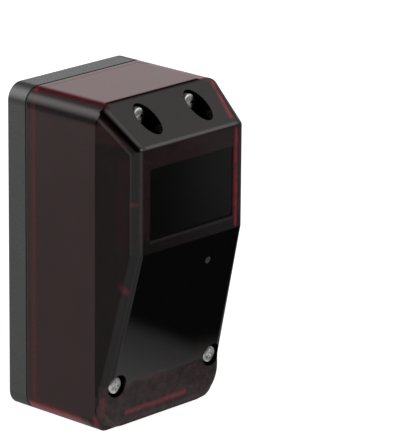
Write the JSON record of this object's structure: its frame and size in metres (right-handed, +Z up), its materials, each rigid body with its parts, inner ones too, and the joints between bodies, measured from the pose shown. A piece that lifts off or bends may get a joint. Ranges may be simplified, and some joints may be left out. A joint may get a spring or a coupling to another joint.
{
  "type": "through-beam photoelectric sensor receiver",
  "caption": "Wall-mounted receiver of a through-beam light barrier: grey base, dark red infrared-pass cover with a sloped nose and window, board, lens, relay and terminals inside.",
  "frame": {"origin": "under the middle of the housing, on the plane of its bottom", "axes": "+X to the right seen from the front, -Y out of the window along the beam, +Z up"},
  "size_m": [0.061, 0.0604, 0.12],
  "materials": {
    "base_plastic": "dark grey moulded plastic, fine matt grain",
    "cover_plastic": "dark red, almost black, infrared-pass plastic, polished",
    "seal_rubber": "black rubber",
    "screw_steel": "bright zinc-plated steel",
    "board_laminate": "green solder resist",
    "holder_plastic": "matt black plastic",
    "lens_clear": "clear moulded lens",
    "diode_resin": "dark daylight-filter resin",
    "led_resin": "red diffused resin",
    "pipe_acrylic": "grey translucent acrylic, ground end",
    "terminal_plastic": "green moulded plastic",
    "cage_brass": "nickelled brass, dull",
    "relay_plastic": "dark blue moulded plastic",
    "can_sleeve": "black shrink sleeve",
    "chip_resin": "black moulding resin",
    "resistor_coat": "beige lacquer"
  },
  "bodies": {
    "root": {"rear_base": "base_plastic", "front_cover": "cover_plastic", "cover_gasket": "seal_rubber", "cover_screws": "screw_steel", "cable_grommet": "seal_rubber", "circuit_board": "board_laminate", "board_screws": "screw_steel", "lens_holder": "holder_plastic", "lens": "lens_clear", "receiver_diode": "diode_resin", "status_led": "led_resin", "light_pipe": "pipe_acrylic", "terminal_block": "terminal_plastic", "terminal_cages": "cage_brass", "terminal_screws": "screw_steel", "relay": "relay_plastic", "reservoir_capacitor": "can_sleeve", "voltage_regulator": "chip_resin", "signal_chip": "chip_resin", "rectifier_diodes": "chip_resin", "resistors": "resistor_coat", "jumper_header": "holder_plastic", "jumper_cap": "relay_plastic"}
  },
  "joints": []
}
